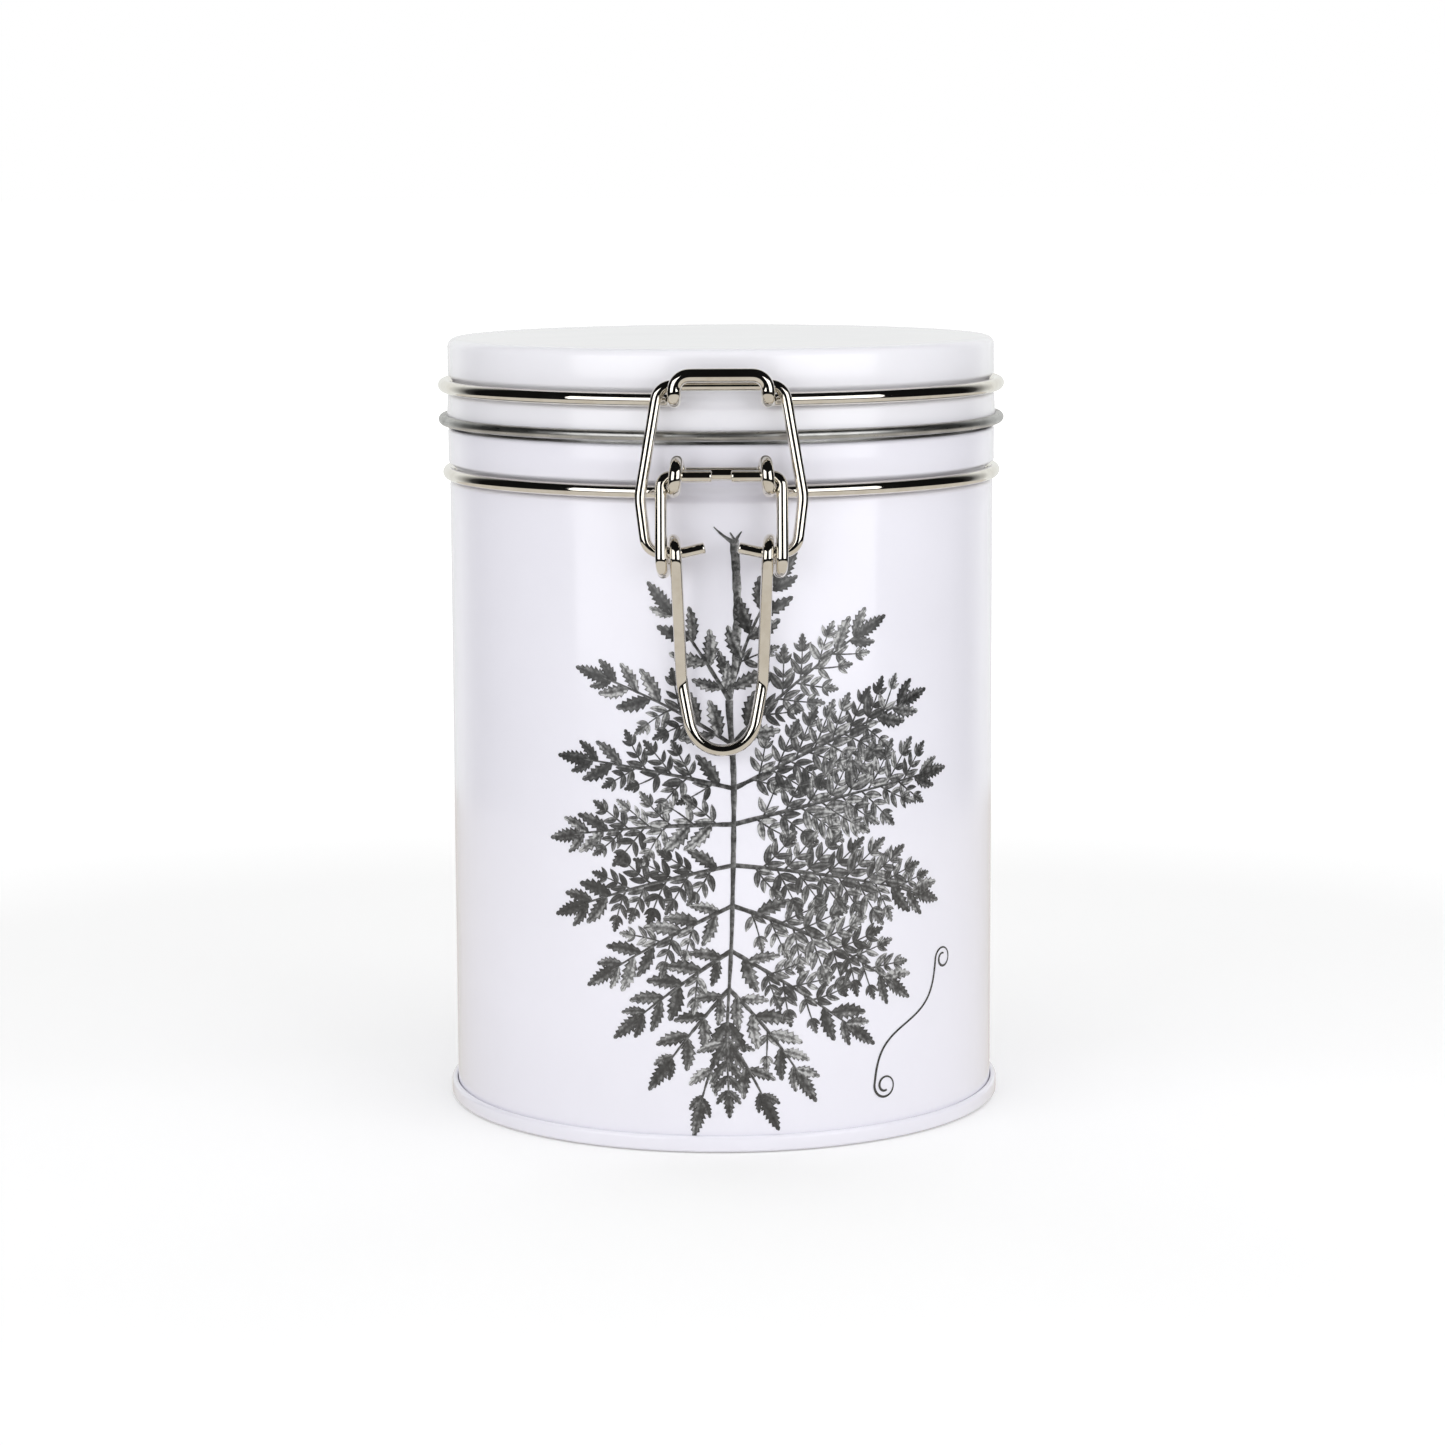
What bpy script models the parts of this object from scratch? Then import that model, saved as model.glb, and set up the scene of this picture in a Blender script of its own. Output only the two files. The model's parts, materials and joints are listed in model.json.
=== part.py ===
"""Clip-top coffee tin: a round tinplate can with a hinged lid and a wire over-centre latch.

Units are metres, +Z is up and the latch faces -Y. The origin is on the can's axis, on the surface
that the base seam stands on. Every wire is symmetric about X = 0, so its route is written once,
from the middle outwards, and mirrored.
"""

from math import acos, asin, atan2, ceil, cos, degrees, hypot, radians, sin

import bpy
from mathutils import Vector

MM = 0.001

# Can
BODY_RADIUS = 55.0 * MM
BAND_RADIUS = 55.25 * MM  # the plain band between the neck ring and the lid
BODY_WALL = 0.8 * MM
SHOULDER_Z = 137.0 * MM  # where the can's wall turns in, under the lid's curl
SEAM_HEIGHT = 3.2 * MM
SEAM_RADIUS = 56.3 * MM
SEAM_FOOT_RADIUS = 55.66 * MM
BASE_PANEL_Z = 3.4 * MM
GAP = 0.3 * MM  # left between pieces that touch

# Mouth collar, which the lid closes over
COLLAR_RADIUS = 52.1 * MM
COLLAR_WALL = 0.7 * MM
COLLAR_FOOT_Z = 119.0 * MM
RIM_RADIUS = 52.4 * MM
RIM_Z = 151.0 * MM

# Lid
LID_TOP_Z = 155.0 * MM
LID_RADIUS = 55.2 * MM
LID_SKIRT_RADIUS = 55.4 * MM  # just above the curl
LID_WALL = 0.6 * MM
LID_EDGE_RADIUS = 1.8 * MM
CURL_RADIUS = 56.07 * MM
CURL_Z = 138.7 * MM
CURL_WIRE = 1.04 * MM  # the rolled edge's own radius
SEAL_INNER_RADIUS = 49.9 * MM
GROOVE_DEPTH = 1.1 * MM

# Wire rings, each in a groove
NECK_RING_RADIUS = 55.08 * MM
NECK_RING_Z = 128.04 * MM
NECK_WIRE = 1.3 * MM
NECK_GROOVE_RADIUS = 53.4 * MM
LID_RING_RADIUS = 55.87 * MM
LID_RING_Z = 145.55 * MM
LID_WIRE = 1.33 * MM
GROOVE_HALF_HEIGHT = 2.4 * MM

# Latch: the lever turns on its own axle at AXLE, in the neck ring's eyelets,
# and carries the link at PIVOT
LEVER_WIRE = 1.15 * MM
LINK_WIRE = 1.1 * MM
AXLE_Y = -59.45 * MM
AXLE_Z = 131.4 * MM
PIVOT_Y = -59.8 * MM
PIVOT_Z = 117.05 * MM
COIL_DROP = 0.65 * MM  # the link's ends are pulled up inside the lever's coils by this much
EYELET_RADIUS = 2.7 * MM
EYELET_X = 8.75 * MM
LEVER_COIL_RADIUS = 3.1 * MM
LEVER_COIL_X = (8.6 * MM, 11.4 * MM)
HANDLE_FOOT_Z = 79.15 * MM
HANDLE_FOOT_Y = -58.5 * MM
HANDLE_LOOP_RADIUS = 6.4 * MM
HANDLE_KINK = (7.7 * MM, -57.1 * MM, 92.0 * MM)
LINK_BAR_Y = -58.0 * MM
LINK_BAR_Z = 148.4 * MM
CATCH_X = 8.8 * MM
CATCH_Y = -60.7 * MM
CATCH_Z = 150.4 * MM

# Hinge at the back: the lid ring's ends coil round the neck ring's ends
HINGE_Y = 59.82 * MM
HINGE_Z = 133.0 * MM
HINGE_COIL_RADIUS = 2.9 * MM
HINGE_COIL_X = (9.0 * MM, 6.0 * MM)
HINGE_SHANK_Y = 58.9 * MM

TURN_STEPS = 60
ARC_STEP = radians(36)  # along rounded corners in turned outlines
BEND_STEP = radians(24)  # along bends and coils in wires
RING_STEP = radians(6)  # along the wire rings


# ---------------------------------------------------------------- scene and materials


def clear_scene():
    for item in list(bpy.data.objects):
        bpy.data.objects.remove(item, do_unlink=True)
    for group in list(bpy.data.collections):
        bpy.data.collections.remove(group)


def principled(name, colour, roughness, metallic):
    material = bpy.data.materials.new(name)
    material.use_nodes = True
    shader = material.node_tree.nodes["Principled BSDF"]
    shader.inputs["Base Color"].default_value = (*colour, 1)
    shader.inputs["Roughness"].default_value = roughness
    shader.inputs["Metallic"].default_value = metallic
    return material


def enamel(name):
    return principled(name, (0.83, 0.82, 0.86), 0.25, 0.0)


def bare_tinplate(name):
    return principled(name, (0.62, 0.62, 0.63), 0.35, 1.0)


def nickel_wire(name):
    return principled(name, (0.78, 0.76, 0.73), 0.12, 1.0)


def silicone(name):
    return principled(name, (0.75, 0.76, 0.76), 0.5, 0.0)


# ---------------------------------------------------------------- turned sheet metal


def arc(centre_r, centre_z, radius, start, end):
    """Outline points on an arc in the R-Z plane, with angles in degrees from +R towards +Z."""
    count = max(1, ceil(abs(radians(end - start)) / ARC_STEP))
    angles = [radians(start + (end - start) * i / count) for i in range(count + 1)]
    return [(centre_r + radius * cos(a), centre_z + radius * sin(a)) for a in angles]


def groove(edge_radius, foot_radius, middle_z, lower_edge_radius):
    """A shallow round-bottomed groove, from its upper edge down to its lower edge."""
    shelf = 0.45 * GROOVE_HALF_HEIGHT
    return [
        (edge_radius, middle_z + GROOVE_HALF_HEIGHT),
        (foot_radius + 0.25 * GROOVE_DEPTH, middle_z + shelf * 1.3),
        (foot_radius, middle_z + shelf * 0.6),
        (foot_radius, middle_z - shelf * 0.6),
        (foot_radius + 0.25 * GROOVE_DEPTH, middle_z - shelf * 1.3),
        (lower_edge_radius, middle_z - GROOVE_HALF_HEIGHT),
    ]


def turned(name, outline, material, closed=True):
    """A solid of revolution. The outline's outer side runs from top to bottom."""
    mesh = bpy.data.meshes.new(name)
    ends = len(outline) if closed else len(outline) - 1
    edges = [(i, (i + 1) % len(outline)) for i in range(ends)]
    mesh.from_pydata([(r, 0, z) for r, z in outline], edges, [])
    solid = bpy.data.objects.new(name, mesh)
    mesh.materials.append(material)
    screw = solid.modifiers.new("turn", "SCREW")
    screw.axis = "Z"
    screw.steps = TURN_STEPS
    screw.render_steps = TURN_STEPS
    screw.use_merge_vertices = True
    screw.merge_threshold = 0.00001
    return solid


def inside(points, wall):
    """The sheet's inner side: the outer points moved towards the axis, in reverse order."""
    return [(r - wall, z) for r, z in reversed(points)]


def body_shell():
    neck_groove = groove(BAND_RADIUS, NECK_GROOVE_RADIUS, NECK_RING_Z, BODY_RADIUS)
    foot_z = GAP + BODY_WALL
    corner = 0.8 * MM
    lip_radius = COLLAR_RADIUS + GAP
    outer = arc(BAND_RADIUS - corner, SHOULDER_Z - corner, corner, 90, 0)
    outer += neck_groove
    outer += [(BODY_RADIUS, 64 * MM), (BODY_RADIUS, foot_z)]
    inner = [(BODY_RADIUS - BODY_WALL, foot_z), (BODY_RADIUS - BODY_WALL, 64 * MM)]
    inner += inside(neck_groove, BODY_WALL)
    inner += [(BAND_RADIUS - BODY_WALL, SHOULDER_Z - BODY_WALL - GAP)]
    inner += [(lip_radius, SHOULDER_Z - BODY_WALL - GAP), (lip_radius, SHOULDER_Z)]
    return turned("body_shell", outer + inner, enamel("body_enamel"))


def base_plate():
    """The recessed end panel, with the seam that folds up round the foot of the can's wall."""
    wall = BODY_WALL
    channel_in = BODY_RADIUS - BODY_WALL - GAP
    channel_out = BODY_RADIUS + GAP
    corner = SEAM_RADIUS - SEAM_FOOT_RADIUS
    panel_radius = channel_in - wall - 1.2 * MM
    outline = [(0, BASE_PANEL_Z + wall), (panel_radius, BASE_PANEL_Z + wall)]
    outline += [(channel_in - 0.5 * wall, BASE_PANEL_Z + 2.5 * wall)]
    outline += [(channel_in, BASE_PANEL_Z + 1.8 * wall), (channel_in, wall)]
    outline += [(channel_out, wall), (channel_out, SEAM_HEIGHT - 0.1 * MM)]
    outline += arc(SEAM_RADIUS - 0.5 * MM, SEAM_HEIGHT - 0.5 * MM, 0.5 * MM, 90, 0)
    outline += arc(SEAM_FOOT_RADIUS, corner, corner, 0, -90)
    outline += [(channel_in - wall, 0), (channel_in - wall, BASE_PANEL_Z - 0.6 * MM)]
    outline += [(panel_radius, BASE_PANEL_Z), (0, BASE_PANEL_Z)]
    return turned("base_plate", outline, enamel("base_enamel"), closed=False)


def mouth_collar():
    bead = 0.5 * (RIM_RADIUS - COLLAR_RADIUS + COLLAR_WALL)
    inner_radius = COLLAR_RADIUS - COLLAR_WALL
    outline = arc(RIM_RADIUS - bead, RIM_Z - bead, bead, 90, 0)
    outline += [(RIM_RADIUS, RIM_Z - 2 * bead), (COLLAR_RADIUS, RIM_Z - 2.6 * bead)]
    outline += [(COLLAR_RADIUS, COLLAR_FOOT_Z), (inner_radius, COLLAR_FOOT_Z)]
    outline += [(inner_radius, RIM_Z - bead)]
    return turned("mouth_collar", outline, bare_tinplate("collar_tinplate"))


def lid_cover():
    lid_groove = groove(
        LID_RADIUS, LID_RADIUS - GROOVE_DEPTH, LID_RING_Z, LID_RADIUS + 0.05 * MM
    )
    skirt_foot = CURL_Z + CURL_WIRE + 0.25 * MM
    notch_depth = 0.45 * MM
    edge_centre_z = LID_TOP_Z - LID_EDGE_RADIUS
    outline = [(0, LID_TOP_Z)]
    outline += arc(
        LID_RADIUS - LID_EDGE_RADIUS, edge_centre_z, LID_EDGE_RADIUS, 90, 0
    )
    outline += lid_groove
    outline += [(LID_SKIRT_RADIUS, skirt_foot)]
    outline += [(LID_SKIRT_RADIUS, CURL_Z + CURL_WIRE - notch_depth)]
    outline += arc(CURL_RADIUS, CURL_Z, CURL_WIRE, 100, -100)
    outline += [(LID_SKIRT_RADIUS - LID_WALL, CURL_Z - 0.6 * CURL_WIRE)]
    outline += [(LID_SKIRT_RADIUS - LID_WALL, skirt_foot)]
    outline += inside(lid_groove, LID_WALL)
    inner_edge = LID_EDGE_RADIUS - LID_WALL
    outline += arc(
        LID_RADIUS - LID_EDGE_RADIUS, edge_centre_z, inner_edge, 0, 90
    )
    outline += [(0, LID_TOP_Z - LID_WALL)]
    return turned("lid_cover", outline, enamel("lid_enamel"), closed=False)


def lid_seal():
    """The silicone ring inside the lid's corner, which the collar's rim presses into."""
    top_z = LID_TOP_Z - LID_WALL - GAP
    bottom_z = RIM_Z + GAP
    outer_radius = LID_RADIUS - LID_WALL - GAP
    corner = 1.3 * MM
    outline = arc(outer_radius - corner, top_z - corner, corner, 90, 0)
    outline += [(outer_radius, bottom_z), (SEAL_INNER_RADIUS, bottom_z)]
    outline += [(SEAL_INNER_RADIUS, top_z)]
    return turned("lid_seal", outline, silicone("seal_silicone"))


# ---------------------------------------------------------------- wires


def bent(route):
    """A route's points, with each corner rounded to the bend radius that it carries."""
    points = [Vector(stop[:3]) for stop in route]
    made = [points[0]]
    for i in range(1, len(points) - 1):
        radius = route[i][3]
        back = (points[i - 1] - points[i]).normalized()
        ahead = (points[i + 1] - points[i]).normalized()
        turn = back.angle(-ahead)
        if not radius or turn < 0.01:
            made.append(points[i])
            continue
        centre_way = (back + ahead).normalized()
        centre = points[i] + centre_way * radius / cos(turn / 2)
        first = -centre_way * radius
        across = (ahead - back).normalized() * radius
        count = max(2, ceil(turn / BEND_STEP))
        for j in range(count + 1):
            angle = turn * (j / count - 0.5)
            made.append(centre + first * cos(angle) + across * sin(angle))
    made.append(points[-1])
    return made


def corner(x, y, z, radius=0.0):
    return (x, y, z, radius)


def coil(y, z, radius, start, end, x_start, x_end):
    """Stops along a coil whose axis is parallel to X; angles in degrees from +Y towards +Z."""
    count = ceil(abs(radians(end - start)) / BEND_STEP)
    stops = []
    for i in range(count + 1):
        share = i / count
        angle = radians(start + (end - start) * share)
        x = x_start + (x_end - x_start) * share
        stops.append(corner(x, y + radius * cos(angle), z + radius * sin(angle)))
    return stops


def ring(radius, z, start, end):
    """Stops along a level ring; angles in radians from -Y towards +X."""
    count = ceil((end - start) / RING_STEP)
    angles = [start + (end - start) * i / count for i in range(count + 1)]
    return [corner(radius * sin(a), -radius * cos(a), z) for a in angles]


def tangent_angle(y, z, centre_y, centre_z, radius, side):
    """Where the line from a point touches a circle, in degrees from +Y towards +Z."""
    away_y = y - centre_y
    away_z = z - centre_z
    opening = degrees(acos(radius / hypot(away_y, away_z)))
    return degrees(atan2(away_z, away_y)) + side * opening


def wire(name, half, radius, material):
    """A round wire along a half route that starts at X = 0, and along its mirror image."""
    points = bent(half)
    mirrored = [Vector((-p.x, p.y, p.z)) for p in reversed(points)]
    if points[0].x < 0.00001:
        mirrored.pop()
    points = mirrored + points
    curve = bpy.data.curves.new(name, "CURVE")
    curve.dimensions = "3D"
    curve.bevel_depth = radius
    curve.bevel_resolution = 2
    curve.use_fill_caps = True
    spline = curve.splines.new("POLY")
    spline.points.add(len(points) - 1)
    for point, place in zip(spline.points, points):
        point.co = (*place, 1)
    curve.materials.append(material)
    return bpy.data.objects.new(name, curve)


def neck_ring():
    """The fixed ring. Its front is bent into two eyelets, and its ends are the lid's hinge axle."""
    chord_y = AXLE_Y + EYELET_RADIUS - 0.05 * MM
    half = [corner(0, chord_y, AXLE_Z + 0.3 * MM)]
    half += [corner(EYELET_X - 0.85 * MM, chord_y, AXLE_Z + 0.3 * MM, 1.6 * MM)]
    half += coil(
        AXLE_Y, AXLE_Z, EYELET_RADIUS, 62, 272, EYELET_X - 0.45 * MM, EYELET_X + 0.2 * MM
    )
    entry_x = 9.6 * MM
    entry_y = -(NECK_RING_RADIUS**2 - entry_x**2) ** 0.5
    half += [corner(entry_x, entry_y, NECK_RING_Z, 2.4 * MM)]
    exit_x = 12.2 * MM
    turn_off = asin(exit_x / NECK_RING_RADIUS)
    entry = asin(entry_x / NECK_RING_RADIUS) + radians(4)
    half += ring(NECK_RING_RADIUS, NECK_RING_Z, entry, radians(180) - turn_off - radians(3))
    half += [corner(exit_x, NECK_RING_RADIUS * cos(turn_off), NECK_RING_Z, 2.0 * MM)]
    half += [corner(exit_x, HINGE_Y, HINGE_Z, 2.0 * MM)]
    half += [corner(0.5 * MM, HINGE_Y, HINGE_Z)]
    return wire("neck_ring", half, NECK_WIRE, nickel_wire("neck_ring_nickel"))


def lid_ring():
    """The lid's ring. Its front stands out as the catch, and its ends coil round the hinge axle."""
    foot_angle = asin(CATCH_X / LID_RING_RADIUS)
    foot_y = -LID_RING_RADIUS * cos(foot_angle)
    half = [corner(0, CATCH_Y, CATCH_Z)]
    half += [corner(CATCH_X, CATCH_Y, CATCH_Z, 2.8 * MM)]
    half += [corner(CATCH_X, CATCH_Y, LID_RING_Z, 1.95 * MM)]
    half += [corner(CATCH_X, foot_y, LID_RING_Z, 2.0 * MM)]
    shank_x = HINGE_COIL_X[0]
    turn_off = asin(shank_x / LID_RING_RADIUS)
    half += ring(
        LID_RING_RADIUS,
        LID_RING_Z,
        foot_angle + radians(3),
        radians(180) - turn_off - radians(3),
    )
    half += [corner(shank_x, LID_RING_RADIUS * cos(turn_off), LID_RING_Z, 1.7 * MM)]
    half += [corner(shank_x, HINGE_SHANK_Y, LID_RING_Z, 1.9 * MM)]
    knee_z = 140.2 * MM
    half += [corner(shank_x, HINGE_SHANK_Y, knee_z, 5.0 * MM)]
    touch = tangent_angle(
        HINGE_SHANK_Y, knee_z, HINGE_Y, HINGE_Z, HINGE_COIL_RADIUS, 1
    )
    half += coil(HINGE_Y, HINGE_Z, HINGE_COIL_RADIUS, touch, touch + 325, *HINGE_COIL_X)
    return wire("lid_ring", half, LID_WIRE, nickel_wire("lid_ring_nickel"))


def closing_link():
    """The loose loop that pulls the catch down. Its two ends turn in the lever's coils."""

    def on_link(x, z, radius=0.0):
        share = (z - PIVOT_Z) / (LINK_BAR_Z - PIVOT_Z)
        return corner(x, PIVOT_Y + (LINK_BAR_Y - PIVOT_Y) * share, z, radius)

    half = [on_link(0, LINK_BAR_Z), on_link(11.8 * MM, LINK_BAR_Z, 3.0 * MM)]
    half += [on_link(15.4 * MM, 127.5 * MM, 6.0 * MM)]
    half += [on_link(14.1 * MM, PIVOT_Z, 3.0 * MM)]
    half += [on_link(7.3 * MM, PIVOT_Z, 3.0 * MM)]
    half += [corner(3.15 * MM, PIVOT_Y, PIVOT_Z + 0.95 * MM)]
    return wire("closing_link", half, LINK_WIRE, nickel_wire("link_nickel"))


def closing_lever():
    """The handle. Its wire coils round the link's ends and turns in to form the latch's axle."""
    kink_x, kink_y, kink_z = HANDLE_KINK
    loop_z = HANDLE_FOOT_Z + HANDLE_LOOP_RADIUS

    def lean(z):
        share = (z - HANDLE_FOOT_Z) / (kink_z - HANDLE_FOOT_Z)
        return HANDLE_FOOT_Y + (kink_y - HANDLE_FOOT_Y) * share

    half = []
    for i in range(5):
        angle = radians(90 * i / 5)
        x = HANDLE_LOOP_RADIUS * sin(angle)
        z = loop_z - HANDLE_LOOP_RADIUS * cos(angle)
        half.append(corner(x, lean(z), z))
    half += [corner(HANDLE_LOOP_RADIUS + 0.1 * MM, lean(loop_z), loop_z)]
    half += [corner(kink_x, kink_y, kink_z, 7.0 * MM)]
    first_x, last_x = LEVER_COIL_X
    shape = (PIVOT_Y, PIVOT_Z - COIL_DROP, LEVER_COIL_RADIUS)
    rise = tangent_angle(kink_y, kink_z, *shape, -1) % 360
    leave = tangent_angle(AXLE_Y, AXLE_Z, *shape, 1) - 360
    half += coil(*shape, rise, 70, first_x, first_x + 0.2 * MM)
    half += coil(*shape, 46, -70, first_x + 0.5 * MM, last_x - 0.2 * MM)
    half += coil(*shape, -94, leave, last_x - 0.1 * MM, last_x)
    half += [corner(last_x, AXLE_Y, AXLE_Z, 1.9 * MM)]
    half += [corner(1.8 * MM, AXLE_Y, AXLE_Z)]
    return wire("closing_lever", half, LEVER_WIRE, nickel_wire("lever_nickel"))


# ---------------------------------------------------------------- assembly


def hang_on(parent_name, x, y, z, pieces, collection, parent=None):
    """Puts an empty on a joint's axis and hangs the pieces from it, without moving them."""
    pivot = bpy.data.objects.new(parent_name, None)
    pivot.empty_display_size = 0.01
    collection.objects.link(pivot)
    if parent:
        pivot.parent = parent
        pivot.location = Vector((x, y, z)) - parent.matrix_world.translation
    else:
        pivot.location = (x, y, z)
    bpy.context.view_layer.update()
    for piece in pieces:
        piece.parent = pivot
        piece.matrix_parent_inverse = pivot.matrix_world.inverted()
    return pivot


def main():
    clear_scene()
    collection = bpy.data.collections.new("coffee_tin")
    bpy.context.scene.collection.children.link(collection)
    can = [body_shell(), base_plate(), mouth_collar(), neck_ring()]
    lid = [lid_cover(), lid_seal(), lid_ring()]
    lever = [closing_lever()]
    link = [closing_link()]
    for piece in can + lid + lever + link:
        collection.objects.link(piece)
    hang_on("lid_hinge", 0, HINGE_Y, HINGE_Z, lid, collection)
    lever_pivot = hang_on("lever_axle", 0, AXLE_Y, AXLE_Z, lever, collection)
    hang_on("link_pivot", 0, PIVOT_Y, PIVOT_Z, link, collection, lever_pivot)


main()
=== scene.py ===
"""The looks of a clip-top coffee tin: enamel, print, wire and a plain pale studio.

Lengths are metres unless a name ends in _mm. The print is laid out flat, in millimetres round the
can (s, to the right of the front) and up it (z), and then wrapped on.
"""

import json
import random
from math import acos, asin, atan2, ceil, cos, degrees, hypot, pi, radians, sin

import bpy
from mathutils import Matrix, Vector

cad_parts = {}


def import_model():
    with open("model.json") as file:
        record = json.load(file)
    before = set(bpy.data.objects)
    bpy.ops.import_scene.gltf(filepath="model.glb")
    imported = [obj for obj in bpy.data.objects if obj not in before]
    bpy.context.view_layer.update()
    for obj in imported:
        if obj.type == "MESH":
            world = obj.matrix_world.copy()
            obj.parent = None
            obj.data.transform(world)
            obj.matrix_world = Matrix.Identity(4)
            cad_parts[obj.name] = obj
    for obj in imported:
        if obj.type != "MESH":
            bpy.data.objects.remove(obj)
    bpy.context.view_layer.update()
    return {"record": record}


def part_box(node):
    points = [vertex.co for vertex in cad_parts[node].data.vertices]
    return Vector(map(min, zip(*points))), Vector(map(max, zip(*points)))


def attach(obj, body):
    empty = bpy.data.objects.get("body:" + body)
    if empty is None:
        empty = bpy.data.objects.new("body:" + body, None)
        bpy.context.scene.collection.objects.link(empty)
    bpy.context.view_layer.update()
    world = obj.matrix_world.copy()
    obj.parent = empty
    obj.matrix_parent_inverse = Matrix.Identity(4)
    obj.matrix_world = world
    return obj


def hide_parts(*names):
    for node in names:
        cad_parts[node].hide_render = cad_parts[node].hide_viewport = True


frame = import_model()
MM = 0.001


def joint_place(name):
    joint = next(j for j in frame["record"]["behaviour"]["joints"] if j["name"] == name)
    return Vector(joint["pos_m"])


# ---------------------------------------------------------------- dimensions

AXLE = joint_place("lever_turn")
PIVOT = joint_place("link_turn")
HINGE = joint_place("lid_hinge")
LID_TOP_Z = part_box("lid_cover")[1].z

BODY_RADIUS = 55.0 * MM
BAND_RADIUS = 55.25 * MM
BODY_WALL = 0.8 * MM
SHOULDER_Z = 137.0 * MM
SEAM_HEIGHT = 3.2 * MM
SEAM_RADIUS = 56.3 * MM
SEAM_FOOT_RADIUS = 55.66 * MM
BASE_PANEL_Z = 3.4 * MM
GAP = 0.3 * MM

COLLAR_RADIUS = 52.1 * MM
COLLAR_WALL = 0.7 * MM
COLLAR_FOOT_Z = 119.0 * MM
RIM_RADIUS = 52.4 * MM
RIM_Z = 151.0 * MM

LID_RADIUS = 55.2 * MM
LID_SKIRT_RADIUS = 55.4 * MM
LID_WALL = 0.6 * MM
LID_EDGE_RADIUS = 1.8 * MM
CURL_RADIUS = 56.07 * MM
CURL_Z = 138.7 * MM
CURL_WIRE = 1.04 * MM
SEAL_INNER_RADIUS = 49.9 * MM
GROOVE_DEPTH = 1.1 * MM
GROOVE_HALF_HEIGHT = 2.4 * MM

NECK_RING_RADIUS = 55.08 * MM
NECK_RING_Z = 128.04 * MM
NECK_WIRE = 1.3 * MM
NECK_GROOVE_RADIUS = 53.4 * MM
LID_RING_RADIUS = 55.87 * MM
LID_RING_Z = 145.55 * MM
LID_WIRE = 1.33 * MM

LEVER_WIRE = 1.15 * MM
LINK_WIRE = 1.1 * MM
COIL_DROP = 0.65 * MM
EYELET_RADIUS = 2.7 * MM
EYELET_X = 8.75 * MM
LEVER_COIL_RADIUS = 3.1 * MM
LEVER_COIL_X = (8.6 * MM, 11.4 * MM)
HANDLE_FOOT_Z = 79.15 * MM
HANDLE_FOOT_Y = -58.5 * MM
HANDLE_LOOP_RADIUS = 6.4 * MM
HANDLE_KINK = (7.7 * MM, -57.1 * MM, 92.0 * MM)
LINK_BAR_Y = -58.0 * MM
LINK_BAR_Z = 148.4 * MM
CATCH_X = 8.8 * MM
CATCH_Y = -60.7 * MM
CATCH_Z = 150.4 * MM
HINGE_COIL_RADIUS = 2.9 * MM
HINGE_COIL_X = (9.0 * MM, 6.0 * MM)
HINGE_SHANK_Y = 58.9 * MM

FERN_SEED = 11
STEM_TOP_Z_MM = 119.0
STEM_CROTCH_Z_MM = 88.0
STEM_TIP_Z_MM = 7.0

FLOOR_LIFT = 0.235
FILL = 0.33

LINK_TOP_X = 11.8 * MM
LINK_WAIST = (15.4 * MM, 127.5 * MM)
LINK_FOOT_X = 14.1 * MM
LINK_THROAT_X = 7.3 * MM
LINK_TIP_X = 3.15 * MM
LINK_TIP_RISE = 0.95 * MM

INK_THICKNESS = 0.02 * MM
INK_LIFT_MM = (0.03, 0.07)
FERN_ROWS = 9
FLOURISH_START_MM = (31.0, 11.0)
FLOURISH_END_MM = (47.5, 34.0)
FLOURISH_SWING_MM = 2.4

CAMERA_PLACE = (0, -0.79255, 0.19195)
CAMERA_DOWN_DEG = 8.325
CAMERA_ROLL = -0.0045
CAMERA_LENS_MM = 97.35

TURN_STEPS = 240
ARC_STEP = radians(12)
BEND_STEP = radians(7)
RING_STEP = radians(1.5)
WIRE_SIDES = 28
WIRE_SPACING = 0.6 * MM
WIRE_SMOOTHING = 3
SHARP_ANGLE = radians(50)


# ---------------------------------------------------------------- shader helpers


def new_material(name, colour, roughness, metallic=0.0):
    """A Principled material; returns it with its nodes, its links and its shader."""
    material = bpy.data.materials.new(name)
    material.use_nodes = True
    tree = material.node_tree
    shader = tree.nodes["Principled BSDF"]
    shader.inputs["Base Color"].default_value = (*colour, 1)
    shader.inputs["Roughness"].default_value = roughness
    shader.inputs["Metallic"].default_value = metallic
    return material, tree.nodes, tree.links, shader


def noise(nodes, links, scale, detail=3.0, stretch=(1, 1, 1), source="Object"):
    """A noise texture in the piece's own coordinates; scale is features per metre."""
    place = nodes.new("ShaderNodeTexCoord")
    mapping = nodes.new("ShaderNodeMapping")
    mapping.inputs["Scale"].default_value = stretch
    texture = nodes.new("ShaderNodeTexNoise")
    texture.inputs["Scale"].default_value = scale
    texture.inputs["Detail"].default_value = detail
    links.new(place.outputs[source], mapping.inputs["Vector"])
    links.new(mapping.outputs["Vector"], texture.inputs["Vector"])
    return texture.outputs["Fac"]


def remap(nodes, links, value, low, high, from_low=0.3, from_high=0.7):
    """Maps the middle of a noise's range onto low to high."""
    spread = nodes.new("ShaderNodeMapRange")
    spread.inputs["From Min"].default_value = from_low
    spread.inputs["From Max"].default_value = from_high
    spread.inputs["To Min"].default_value = low
    spread.inputs["To Max"].default_value = high
    links.new(value, spread.inputs["Value"])
    return spread.outputs["Result"]


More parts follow.
